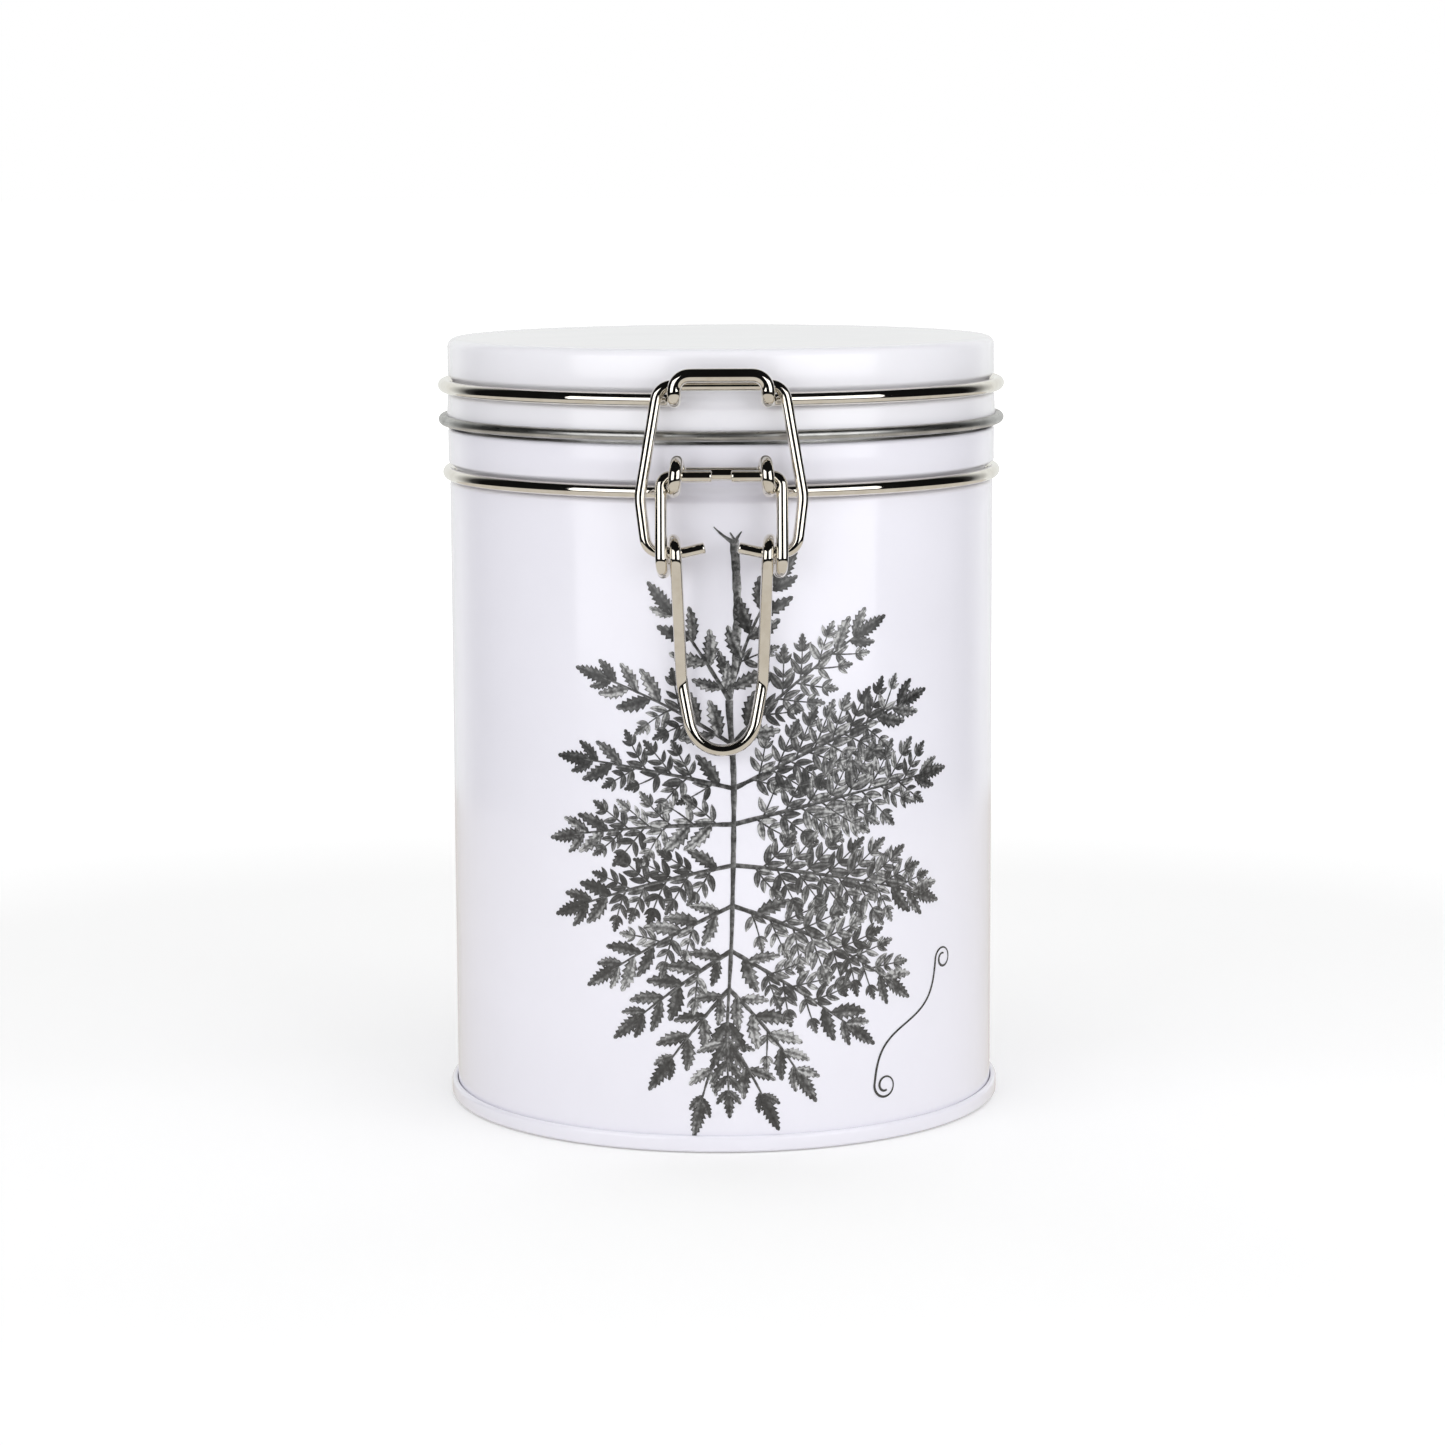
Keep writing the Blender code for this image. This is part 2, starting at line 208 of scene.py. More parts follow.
def ramp(nodes, links, value, stops):
    """A colour ramp over (position, colour) stops."""
    colours = nodes.new("ShaderNodeValToRGB")
    elements = colours.color_ramp.elements
    while len(elements) < len(stops):
        elements.new(0.5)
    for element, (position, colour) in zip(elements, stops):
        element.position = position
        element.color = (*colour, 1)
    links.new(value, colours.inputs["Fac"])
    return colours.outputs["Color"]


def bump(nodes, links, shader, height, distance, strength=1.0):
    """Adds a bump to the shader, on top of any that it already has."""
    node = nodes.new("ShaderNodeBump")
    node.inputs["Strength"].default_value = strength
    node.inputs["Distance"].default_value = distance
    links.new(height, node.inputs["Height"])
    if shader.inputs["Normal"].is_linked:
        links.new(shader.inputs["Normal"].links[0].from_socket, node.inputs["Normal"])
    links.new(node.outputs["Normal"], shader.inputs["Normal"])


# ---------------------------------------------------------------- materials


def enamel(name, tint, gloss=0.16, peel=0.3):
    """Stoved white enamel: faint orange peel, faint rub marks and barely uneven tone."""
    material, nodes, links, shader = new_material(name, tint, gloss)
    shader.inputs["Specular IOR Level"].default_value = 0.5
    shader.inputs["Coat Weight"].default_value = 0.35
    shader.inputs["Coat Roughness"].default_value = 0.06
    cloud = noise(nodes, links, 28.0, 4.0)
    light = tuple(min(1.0, c * 1.012) for c in tint)
    dark = tuple(c * 0.985 for c in tint)
    links.new(ramp(nodes, links, cloud, [(0.35, dark), (0.65, light)]), shader.inputs["Base Color"])
    rub = noise(nodes, links, 90.0, 6.0, (1, 1, 0.35))
    uneven = 0.1 * peel
    worn = remap(nodes, links, rub, gloss - uneven, gloss + 2 * uneven)
    links.new(worn, shader.inputs["Roughness"])
    bump(nodes, links, shader, noise(nodes, links, 420.0, 2.0), 0.003 * MM, peel)
    return material


def bare_tinplate(name):
    """Uncoated tinplate: matte, with the mill's fine lines and darker handling marks."""
    material, nodes, links, shader = new_material(name, (0.5, 0.5, 0.49), 0.36, 1.0)
    marks = noise(nodes, links, 160.0, 5.0)
    tones = [(0.3, (0.40, 0.40, 0.39)), (0.55, (0.52, 0.52, 0.51)), (0.75, (0.62, 0.62, 0.61))]
    links.new(ramp(nodes, links, marks, tones), shader.inputs["Base Color"])
    lines = noise(nodes, links, 500.0, 3.0, (1, 1, 8))
    links.new(remap(nodes, links, lines, 0.27, 0.37), shader.inputs["Roughness"])
    bump(nodes, links, shader, lines, 0.01 * MM, 0.5)
    return material


def lacquer(name):
    """Clear-lacquered tinplate, as inside the can: pale satin grey with soft handling marks."""
    material, nodes, links, shader = new_material(name, (0.62, 0.61, 0.58), 0.4, 0.35)
    marks = noise(nodes, links, 60.0, 3.0)
    tones = [(0.3, (0.59, 0.58, 0.55)), (0.7, (0.65, 0.64, 0.61))]
    links.new(ramp(nodes, links, marks, tones), shader.inputs["Base Color"])
    lines = noise(nodes, links, 500.0, 2.0, (1, 1, 8))
    links.new(remap(nodes, links, lines, 0.36, 0.46), shader.inputs["Roughness"])
    bump(nodes, links, shader, lines, 0.003 * MM, 0.3)
    return material


def nickel(name):
    """Bright nickel-plated wire with faint drawing lines along it and small rubbed spots."""
    material, nodes, links, shader = new_material(name, (0.82, 0.79, 0.73), 0.07, 1.0)
    spots = noise(nodes, links, 300.0, 5.0)
    tones = [(0.3, (0.76, 0.72, 0.65)), (0.6, (0.84, 0.81, 0.75))]
    links.new(ramp(nodes, links, spots, tones), shader.inputs["Base Color"])
    drawn = noise(nodes, links, 14.0, 4.0, (1, 0.001, 1), "UV")
    links.new(remap(nodes, links, spots, 0.03, 0.07), shader.inputs["Roughness"])
    bump(nodes, links, shader, drawn, 0.004 * MM, 0.2)
    return material


def silicone(name):
    """Milky silicone rubber."""
    material, nodes, links, shader = new_material(name, (0.74, 0.75, 0.74), 0.45)
    shader.inputs["Subsurface Weight"].default_value = 0.25
    shader.inputs["Subsurface Radius"].default_value = (0.004, 0.004, 0.004)
    shader.inputs["Subsurface Scale"].default_value = 0.3
    dust = noise(nodes, links, 350.0, 5.0)
    links.new(remap(nodes, links, dust, 0.38, 0.58), shader.inputs["Roughness"])
    bump(nodes, links, shader, dust, 0.02 * MM, 0.4)
    return material


def printed_ink(name):
    """Grey ink under the same varnish: tone from the print itself, broken up like a wash."""
    material, nodes, links, shader = new_material(name, (0.15, 0.15, 0.15), 0.22)
    shader.inputs["Coat Weight"].default_value = 0.35
    shader.inputs["Coat Roughness"].default_value = 0.06
    tone = nodes.new("ShaderNodeAttribute")
    tone.attribute_name = "tone"
    wash = remap(nodes, links, noise(nodes, links, 1100.0, 5.0), 0.45, 1.7)
    wet = nodes.new("ShaderNodeMath")
    wet.operation = "MULTIPLY"
    links.new(tone.outputs["Fac"], wet.inputs[0])
    links.new(wash, wet.inputs[1])
    darkest, dark, pale, palest = 0.0085, 0.061, 0.201, 0.503
    shades = [(0.0, (darkest,) * 3), (0.35, (dark,) * 3), (0.7, (pale,) * 3), (1.0, (palest,) * 3)]
    links.new(ramp(nodes, links, wet.outputs[0], shades), shader.inputs["Base Color"])
    return material


# ---------------------------------------------------------------- turned sheet metal


def arc(centre_r, centre_z, radius, start, end):
    """Outline points on an arc in the R-Z plane, with angles in degrees from +R towards +Z."""
    count = max(2, ceil(abs(radians(end - start)) / ARC_STEP))
    angles = [radians(start + (end - start) * i / count) for i in range(count + 1)]
    return [(centre_r + radius * cos(a), centre_z + radius * sin(a)) for a in angles]


def groove(edge_radius, foot_radius, middle_z, lower_edge_radius, count=18):
    """A smooth round-bottomed groove, from its upper edge down to its lower edge."""
    points = []
    for i in range(count + 1):
        way = 1 - 2 * i / count
        edge = edge_radius if way > 0 else lower_edge_radius
        depth = 0.5 + 0.5 * cos(pi * min(1.0, abs(way)) ** 1.5)
        radius = edge + (foot_radius - edge) * depth
        points.append((radius, middle_z + GROOVE_HALF_HEIGHT * way))
    return points


def inside(points, wall):
    return [(r - wall, z) for r, z in reversed(points)]


def turned(name, outline, spans, closed=True):
    """A smooth solid of revolution; spans pairs each material's first outline step with it."""
    materials = list(dict.fromkeys(material for _, material in spans))
    vertices = []
    rows = []
    for r, z in outline:
        if r < 1e-7:
            rows.append([len(vertices)] * TURN_STEPS)
            vertices.append((0, 0, z))
            continue
        rows.append(list(range(len(vertices), len(vertices) + TURN_STEPS)))
        for k in range(TURN_STEPS):
            angle = 2 * pi * k / TURN_STEPS
            vertices.append((r * sin(angle), -r * cos(angle), z))
    faces = []
    slots = []
    for i in range(len(outline) if closed else len(outline) - 1):
        here, below = rows[i], rows[(i + 1) % len(rows)]
        slot = materials.index([material for start, material in spans if start <= i][-1])
        for k in range(TURN_STEPS):
            j = (k + 1) % TURN_STEPS
            corners = [here[k], below[k], below[j], here[j]]
            faces.append(tuple(dict.fromkeys(corners)))
            slots.append(slot)
    mesh = bpy.data.meshes.new(name)
    mesh.from_pydata(vertices, [], faces)
    for material in materials:
        mesh.materials.append(material)
    mesh.polygons.foreach_set("material_index", slots)
    mesh.shade_smooth()
    mesh.set_sharp_from_angle(angle=radians(38))
    return linked(bpy.data.objects.new(name, mesh))


def linked(piece):
    bpy.context.scene.collection.objects.link(piece)
    return piece


def body_shell():
    neck_groove = groove(BAND_RADIUS, NECK_GROOVE_RADIUS, NECK_RING_Z, BODY_RADIUS)
    foot_z = GAP + BODY_WALL
    corner = 0.8 * MM
    lip_radius = COLLAR_RADIUS + GAP
    outer = arc(BAND_RADIUS - corner, SHOULDER_Z - corner, corner, 90, 0) + neck_groove
    outer += [(BODY_RADIUS, z * MM) for z in range(120, 9, -10)] + [(BODY_RADIUS, foot_z)]
    inner = [(BODY_RADIUS - BODY_WALL, foot_z), (BODY_RADIUS - BODY_WALL, 64 * MM)]
    inner += inside(neck_groove, BODY_WALL)
    inner += [(BAND_RADIUS - BODY_WALL, SHOULDER_Z - BODY_WALL - GAP)]
    inner += [(lip_radius, SHOULDER_Z - BODY_WALL - GAP), (lip_radius, SHOULDER_Z)]
    spans = [(0, ENAMEL_BODY), (len(outer), LACQUER), (len(outer + inner) - 1, ENAMEL_BODY)]
    return turned("tin_body", outer + inner, spans)


def base_plate():
    wall = BODY_WALL
    channel_in = BODY_RADIUS - BODY_WALL - GAP
    channel_out = BODY_RADIUS + 0.12 * MM
    corner = SEAM_RADIUS - SEAM_FOOT_RADIUS
    panel_radius = channel_in - wall - 1.2 * MM
    outline = [(0, BASE_PANEL_Z + wall), (panel_radius, BASE_PANEL_Z + wall)]
    outline += [(channel_in - 0.5 * wall, BASE_PANEL_Z + 2.5 * wall)]
    outline += [(channel_in, BASE_PANEL_Z + 1.8 * wall), (channel_in, wall)]
    outline += [(channel_out, wall), (channel_out, SEAM_HEIGHT - 0.35 * MM)]
    outline += arc(channel_out + 0.35 * MM, SEAM_HEIGHT - 0.35 * MM, 0.35 * MM, 180, 90)
    outline += arc(SEAM_RADIUS - 0.75 * MM, SEAM_HEIGHT - 0.75 * MM, 0.75 * MM, 90, 0)
    outline += arc(SEAM_FOOT_RADIUS, corner, corner, 0, -90)
    outline += [(channel_in - wall, 0), (channel_in - wall, BASE_PANEL_Z - 0.6 * MM)]
    outline += [(panel_radius, BASE_PANEL_Z), (0, BASE_PANEL_Z)]
    return turned("tin_base", outline, [(0, LACQUER), (4, ENAMEL_BODY)], closed=False)


def mouth_collar():
    bead = 0.5 * (RIM_RADIUS - COLLAR_RADIUS + COLLAR_WALL)
    inner_radius = COLLAR_RADIUS - COLLAR_WALL
    outline = arc(RIM_RADIUS - bead, RIM_Z - bead, bead, 180, -60)
    outline += [(COLLAR_RADIUS, RIM_Z - 2.6 * bead)]
    outline += [(COLLAR_RADIUS, COLLAR_FOOT_Z), (inner_radius, COLLAR_FOOT_Z)]
    return turned("mouth_collar_sheet", outline, [(0, TINPLATE), (len(outline) - 1, LACQUER)])


def lid_cover():
    lid_groove = groove(
        LID_RADIUS, LID_RADIUS - GROOVE_DEPTH, LID_RING_Z, LID_RADIUS + 0.05 * MM
    )
    skirt_foot = CURL_Z + CURL_WIRE + 0.25 * MM
    edge_centre_z = LID_TOP_Z - LID_EDGE_RADIUS
    edge_centre_r = LID_RADIUS - LID_EDGE_RADIUS
    outline = [(0, LID_TOP_Z), (30 * MM, LID_TOP_Z), (edge_centre_r - 0.2 * MM, LID_TOP_Z)]
    outline += arc(edge_centre_r, edge_centre_z, LID_EDGE_RADIUS, 90, 0)
    outline += lid_groove
    outline += [(LID_SKIRT_RADIUS, skirt_foot)]
    curl_start = len(outline)
    outline += [(LID_SKIRT_RADIUS, CURL_Z + 0.55 * CURL_WIRE)]
    outline += arc(CURL_RADIUS, CURL_Z, CURL_WIRE, 128, -120)
    outline += [(LID_SKIRT_RADIUS - LID_WALL, CURL_Z - 0.6 * CURL_WIRE)]
    outline += [(LID_SKIRT_RADIUS - LID_WALL, skirt_foot)]
    lining_start = len(outline)
    outline += inside(lid_groove, LID_WALL)
    outline += arc(edge_centre_r, edge_centre_z, LID_EDGE_RADIUS - LID_WALL, 0, 90)
    outline += [(0, LID_TOP_Z - LID_WALL)]
    spans = [(0, ENAMEL_LID), (curl_start, TINPLATE), (lining_start, LACQUER)]
    return turned("lid_sheet", outline, spans, closed=False)


def lid_seal():
    top_z = LID_TOP_Z - LID_WALL - GAP
    bottom_z = RIM_Z + GAP
    outer_radius = LID_RADIUS - LID_WALL - GAP
    corner = 1.3 * MM
    lip = 0.4 * MM
    outline = arc(outer_radius - corner, top_z - corner, corner, 90, 0)
    outline += arc(outer_radius - lip, bottom_z + lip, lip, 0, -90)
    outline += arc(SEAL_INNER_RADIUS + lip, bottom_z + lip, lip, -90, -180)
    outline += arc(SEAL_INNER_RADIUS + lip, top_z - lip, lip, 180, 90)
    return turned("lid_seal_ring", outline, [(0, SILICONE)])


def side_seam():
    """The can's welded side seam: a low flat ridge down the back."""
    half_width_mm = 1.6
    height_mm = 0.14
    profile = [(-1.0, -0.4), (-0.8, 0.7), (-0.45, 1.0), (0.45, 1.0), (0.8, 0.7), (1.0, -0.4)]
    levels_mm = (3.6, 60.0, 125.3)
    vertices = []
    for z in levels_mm:
        for across, up in profile:
            radius = BODY_RADIUS + height_mm * up * MM
            angle = pi + across * half_width_mm * MM / BODY_RADIUS
            vertices.append((radius * sin(angle), -radius * cos(angle), z * MM))
    width = len(profile)
    faces = []
    for row in range(len(levels_mm) - 1):
        for k in range(width):
            j = (k + 1) % width
            faces.append(
                (row * width + k, row * width + j, (row + 1) * width + j, (row + 1) * width + k)
            )
    faces.append(tuple(reversed(range(width))))
    faces.append(tuple(range((len(levels_mm) - 1) * width, len(levels_mm) * width)))
    mesh = bpy.data.meshes.new("side_seam")
    mesh.from_pydata(vertices, [], faces)
    mesh.materials.append(ENAMEL_BODY)
    mesh.shade_smooth()
    mesh.set_sharp_from_angle(angle=SHARP_ANGLE)
    return linked(bpy.data.objects.new("side_seam", mesh))


# ---------------------------------------------------------------- wires


def corner(x, y, z, radius=0.0):
    return (x, y, z, radius)


def bent(route):
    """A route's points, with each corner rounded to the bend radius that it carries."""
    points = [Vector(stop[:3]) for stop in route]
    made = [points[0]]
    for i in range(1, len(points) - 1):
        radius = route[i][3]
        back = (points[i - 1] - points[i]).normalized()
        ahead = (points[i + 1] - points[i]).normalized()
        turn = back.angle(-ahead)
        if not radius or turn < 0.01:
            made.append(points[i])
            continue
        centre_way = (back + ahead).normalized()
        centre = points[i] + centre_way * radius / cos(turn / 2)
        first = -centre_way * radius
        across = (ahead - back).normalized() * radius
        count = max(2, ceil(turn / BEND_STEP))
        for j in range(count + 1):
            angle = turn * (j / count - 0.5)
            made.append(centre + first * cos(angle) + across * sin(angle))
    made.append(points[-1])
    return made


def smoothed(points, rounds):
    """Takes the kinks out where arcs of different sizes meet; the ends stay."""
    for _ in range(rounds):
        ends = points[0], points[-1]
        middle = [
            points[i] * 0.5 + (points[i - 1] + points[i + 1]) * 0.25
            for i in range(1, len(points) - 1)
        ]
        points = [ends[0], *middle, ends[1]]
    return points


def resampled(points, spacing):
    """The same route with points at most spacing apart."""
    made = [points[0]]
    for here, there in zip(points, points[1:]):
        count = max(1, ceil((there - here).length / spacing))
        made += [here.lerp(there, k / count) for k in range(1, count + 1)]
    return made


def coil(y, z, radius, start, end, x_start, x_end):
    """Stops along a coil whose axis is parallel to X; angles in degrees from +Y towards +Z."""
    count = ceil(abs(radians(end - start)) / BEND_STEP)
    stops = []
    for i in range(count + 1):
        share = i / count
        angle = radians(start + (end - start) * share)
        ease = share * share * (3 - 2 * share)
        x = x_start + (x_end - x_start) * ease
        stops.append(corner(x, y + radius * cos(angle), z + radius * sin(angle)))
    return stops


def ring(radius, z, start, end):
    """Stops along a level ring; angles in radians from -Y towards +X."""
    count = ceil((end - start) / RING_STEP)
    angles = [start + (end - start) * i / count for i in range(count + 1)]
    return [corner(radius * sin(a), -radius * cos(a), z) for a in angles]


def tangent_angle(y, z, centre_y, centre_z, radius, side):
    """Where the line from a point touches a circle, in degrees from +Y towards +Z."""
    away_y = y - centre_y
    away_z = z - centre_z
    opening = degrees(acos(radius / hypot(away_y, away_z)))
    return degrees(atan2(away_z, away_y)) + side * opening


def carried_frames(points):
    """A sideways direction at each point, carried along the route without twisting."""
    frames = []
    side = Vector((0, 0, 1))
    for i in range(len(points)):
        ahead = points[min(i + 1, len(points) - 1)] - points[max(i - 1, 0)]
        ahead.normalize()
        side = side - ahead * side.dot(ahead)
        if side.length < 1e-6:
            side = ahead.orthogonal()
        side.normalize()
        frames.append((ahead, side.copy(), ahead.cross(side)))
    return frames


def tube(name, points, radius, material):
    """A round wire through the points, with its cut ends slightly rounded."""
    frames = carried_frames(points)
    chamfer = 0.18 * radius
    first_ahead = frames[0][0]
    last_ahead = frames[-1][0]
    rows = [(points[0], frames[0], radius - chamfer, 0.0)]
    rows.append((points[0] + first_ahead * chamfer, frames[0], radius, 0.0))
    length = 0.0
    for i in range(1, len(points) - 1):
        length += (points[i] - points[i - 1]).length
        rows.append((points[i], frames[i], radius, length))
    rows.append((points[-1] - last_ahead * chamfer, frames[-1], radius, length))
    rows.append((points[-1], frames[-1], radius - chamfer, length))
    vertices = []
    for place, (_, side, up), size, _ in rows:
        for k in range(WIRE_SIDES):
            angle = 2 * pi * k / WIRE_SIDES
            vertices.append(place + (side * cos(angle) + up * sin(angle)) * size)
    faces = []
    around = []
    for row in range(len(rows) - 1):
        for k in range(WIRE_SIDES):
            j = (k + 1) % WIRE_SIDES
            here, there = row * WIRE_SIDES, (row + 1) * WIRE_SIDES
            faces.append((here + k, here + j, there + j, there + k))
            low, high = rows[row][3] / MM, rows[row + 1][3] / MM
            left, right = k / WIRE_SIDES, (k + 1) / WIRE_SIDES
            around += [(left, low), (right, low), (right, high), (left, high)]
    first_cap = tuple(reversed(range(WIRE_SIDES)))
    last_cap = tuple(range(len(vertices) - WIRE_SIDES, len(vertices)))
    for cap in (first_cap, last_cap):
        faces.append(cap)
        around += [(0.5, 0.0)] * WIRE_SIDES
    mesh = bpy.data.meshes.new(name)
    mesh.from_pydata(vertices, [], faces)
    mesh.uv_layers.new(name="wire")
    mesh.uv_layers["wire"].uv.foreach_set("vector", [c for pair in around for c in pair])
    mesh.materials.append(material)
    mesh.shade_smooth()
    mesh.set_sharp_from_angle(angle=SHARP_ANGLE)
    return linked(bpy.data.objects.new(name, mesh))


def wire(name, half, radius, material):
    """A round wire along a half route that starts at X = 0, and along its mirror image."""
    points = smoothed(resampled(bent(half), WIRE_SPACING), WIRE_SMOOTHING)
    mirrored = [Vector((-p.x, p.y, p.z)) for p in reversed(points)]
    if points[0].x < 0.00001:
        mirrored.pop()
    return tube(name, mirrored + points, radius, material)


def neck_ring():
    chord_y = AXLE.y + EYELET_RADIUS - 0.05 * MM
    chord_z = AXLE.z + 0.3 * MM
    half = [corner(0, chord_y, chord_z)]
    half += [corner(EYELET_X - 0.85 * MM, chord_y, chord_z, 1.6 * MM)]
    half += coil(
        AXLE.y, AXLE.z, EYELET_RADIUS, 62, 272, EYELET_X - 0.45 * MM, EYELET_X + 0.2 * MM
    )
    entry_x = 9.6 * MM
    entry_y = -((NECK_RING_RADIUS**2 - entry_x**2) ** 0.5)
    half += [corner(entry_x, entry_y, NECK_RING_Z, 2.4 * MM)]
    exit_x = 12.2 * MM
    turn_off = asin(exit_x / NECK_RING_RADIUS)
    entry = asin(entry_x / NECK_RING_RADIUS) + radians(4)
    half += ring(NECK_RING_RADIUS, NECK_RING_Z, entry, pi - turn_off - radians(3))
    half += [corner(exit_x, NECK_RING_RADIUS * cos(turn_off), NECK_RING_Z, 2.0 * MM)]
    half += [corner(exit_x, HINGE.y, HINGE.z, 2.0 * MM)]
    half += [corner(0.5 * MM, HINGE.y, HINGE.z)]
    return wire("neck_ring_wire", half, NECK_WIRE, NICKEL)


def lid_ring():
    foot_angle = asin(CATCH_X / LID_RING_RADIUS)
    foot_y = -LID_RING_RADIUS * cos(foot_angle)
    half = [corner(0, CATCH_Y, CATCH_Z)]
    half += [corner(CATCH_X, CATCH_Y, CATCH_Z, 2.8 * MM)]
    half += [corner(CATCH_X, CATCH_Y, LID_RING_Z, 1.95 * MM)]
    half += [corner(CATCH_X, foot_y, LID_RING_Z, 2.0 * MM)]
    shank_x = HINGE_COIL_X[0]
    turn_off = asin(shank_x / LID_RING_RADIUS)
    last = pi - turn_off - radians(3)
    half += ring(LID_RING_RADIUS, LID_RING_Z, foot_angle + radians(3), last)
    half += [corner(shank_x, LID_RING_RADIUS * cos(turn_off), LID_RING_Z, 1.7 * MM)]
    half += [corner(shank_x, HINGE_SHANK_Y, LID_RING_Z, 1.9 * MM)]
    knee_z = 140.2 * MM
    half += [corner(shank_x, HINGE_SHANK_Y, knee_z, 5.0 * MM)]
    touch = tangent_angle(HINGE_SHANK_Y, knee_z, HINGE.y, HINGE.z, HINGE_COIL_RADIUS, 1)
    half += coil(HINGE.y, HINGE.z, HINGE_COIL_RADIUS, touch, touch + 325, *HINGE_COIL_X)
    return wire("lid_ring_wire", half, LID_WIRE, NICKEL)


def closing_link():
    def on_link(x, z, radius=0.0):
        share = (z - PIVOT.z) / (LINK_BAR_Z - PIVOT.z)
        return corner(x, PIVOT.y + (LINK_BAR_Y - PIVOT.y) * share, z, radius)

    half = [on_link(0, LINK_BAR_Z), on_link(LINK_TOP_X, LINK_BAR_Z, 3.0 * MM)]
    half += [on_link(*LINK_WAIST, 6.0 * MM)]
    half += [on_link(LINK_FOOT_X, PIVOT.z, 3.0 * MM)]
    half += [on_link(LINK_THROAT_X, PIVOT.z, 3.0 * MM)]
    half += [corner(LINK_TIP_X, PIVOT.y, PIVOT.z + LINK_TIP_RISE)]
    return wire("closing_link_wire", half, LINK_WIRE, NICKEL)


def closing_lever():
    kink_x, kink_y, kink_z = HANDLE_KINK
    loop_z = HANDLE_FOOT_Z + HANDLE_LOOP_RADIUS

    def lean(z):
        share = (z - HANDLE_FOOT_Z) / (kink_z - HANDLE_FOOT_Z)
        return HANDLE_FOOT_Y + (kink_y - HANDLE_FOOT_Y) * share

    half = []
    turns = 14
    for i in range(turns):
        angle = radians(90 * i / turns)
        x = HANDLE_LOOP_RADIUS * sin(angle)
        z = loop_z - HANDLE_LOOP_RADIUS * cos(angle)
        half.append(corner(x, lean(z), z))
    half += [corner(HANDLE_LOOP_RADIUS + 0.1 * MM, lean(loop_z), loop_z)]
    half += [corner(kink_x, kink_y, kink_z, 7.0 * MM)]
    first_x, last_x = LEVER_COIL_X
    shape = (PIVOT.y, PIVOT.z - COIL_DROP, LEVER_COIL_RADIUS)
    rise = tangent_angle(kink_y, kink_z, *shape, -1) % 360
    leave = tangent_angle(AXLE.y, AXLE.z, *shape, 1) - 360
    half += coil(*shape, rise, leave, first_x, last_x)
    half += [corner(last_x, AXLE.y, AXLE.z, 1.9 * MM)]
    half += [corner(1.8 * MM, AXLE.y, AXLE.z)]
    return wire("closing_lever_wire", half, LEVER_WIRE, NICKEL)


# ---------------------------------------------------------------- the print


class Film:
    """A printed picture, laid out flat as small sheets of ink and then wrapped on the can."""

    def __init__(self, seed):
        self.chance = random.Random(seed)
        self.vertices = []
        self.faces = []
        self.tones = []

    def sheet(self, grid, tone_of):
        """Adds a grid of (s, z) points in mm; tone_of(row, column) is 0 for black to 1."""
        lift = self.chance.uniform(*INK_LIFT_MM) * MM
        start = len(self.vertices)
        columns = len(grid[0])
        for i, row in enumerate(grid):
            for j, (s, z) in enumerate(row):
                radius = BODY_RADIUS + lift
                angle = s * MM / BODY_RADIUS
                self.vertices.append((radius * sin(angle), -radius * cos(angle), z * MM))
                self.tones.append(tone_of(i, j))
        for i in range(len(grid) - 1):
            for j in range(columns - 1):
                here = start + i * columns + j
                self.faces.append((here, here + 1, here + columns + 1, here + columns))

    def piece(self, name, material):
        mesh = bpy.data.meshes.new(name)
        mesh.from_pydata(self.vertices, [], self.faces)
        tone = mesh.attributes.new("tone", "FLOAT", "POINT")
        tone.data.foreach_set("value", self.tones)
        mesh.materials.append(material)
        piece = linked(bpy.data.objects.new(name, mesh))
        solid = piece.modifiers.new("film", "SOLIDIFY")
        solid.thickness = INK_THICKNESS
        solid.offset = 0
        return piece


def spline(points, count):
    """Points on a Catmull-Rom curve through (s, z) points."""
    ends = [
        (2 * points[0][0] - points[1][0], 2 * points[0][1] - points[1][1]),
        *points,
        (2 * points[-1][0] - points[-2][0], 2 * points[-1][1] - points[-2][1]),
    ]
    made = []
    for n in range(count + 1):
        place = n / count * (len(points) - 1)
        i = min(int(place), len(points) - 2)
        t = place - i
        a, b, c, d = ends[i : i + 4]
        made.append(
            tuple(
                0.5
                * (
                    2 * b[k]
                    + (c[k] - a[k]) * t
                    + (2 * a[k] - 5 * b[k] + 4 * c[k] - d[k]) * t * t
                    + (3 * b[k] - a[k] - 3 * c[k] + d[k]) * t**3
                )
                for k in (0, 1)
            )
        )
    return made


def headings(path):
    """The direction of travel at each point of a path, in radians."""
    last = len(path) - 1
    return [
        atan2(
            path[min(i + 1, last)][1] - path[max(i - 1, 0)][1],
            path[min(i + 1, last)][0] - path[max(i - 1, 0)][0],
        )
        for i in range(len(path))
    ]


def stroke(film, path, start_width, end_width, tone):
    """A tapering line, a little uneven, darker down one side."""
    grid = []
    for i, ((s, z), way) in enumerate(zip(path, headings(path))):
        share = i / (len(path) - 1)
        half = 0.5 * (start_width + (end_width - start_width) * share)
        half *= film.chance.uniform(0.85, 1.15)
        across = (-sin(way) * half, cos(way) * half)
        grid.append([(s + across[0] * k, z + across[1] * k) for k in (-1, 0, 1)])
    film.sheet(grid, lambda i, j: tone * (0.8, 1.0, 1.5)[j])


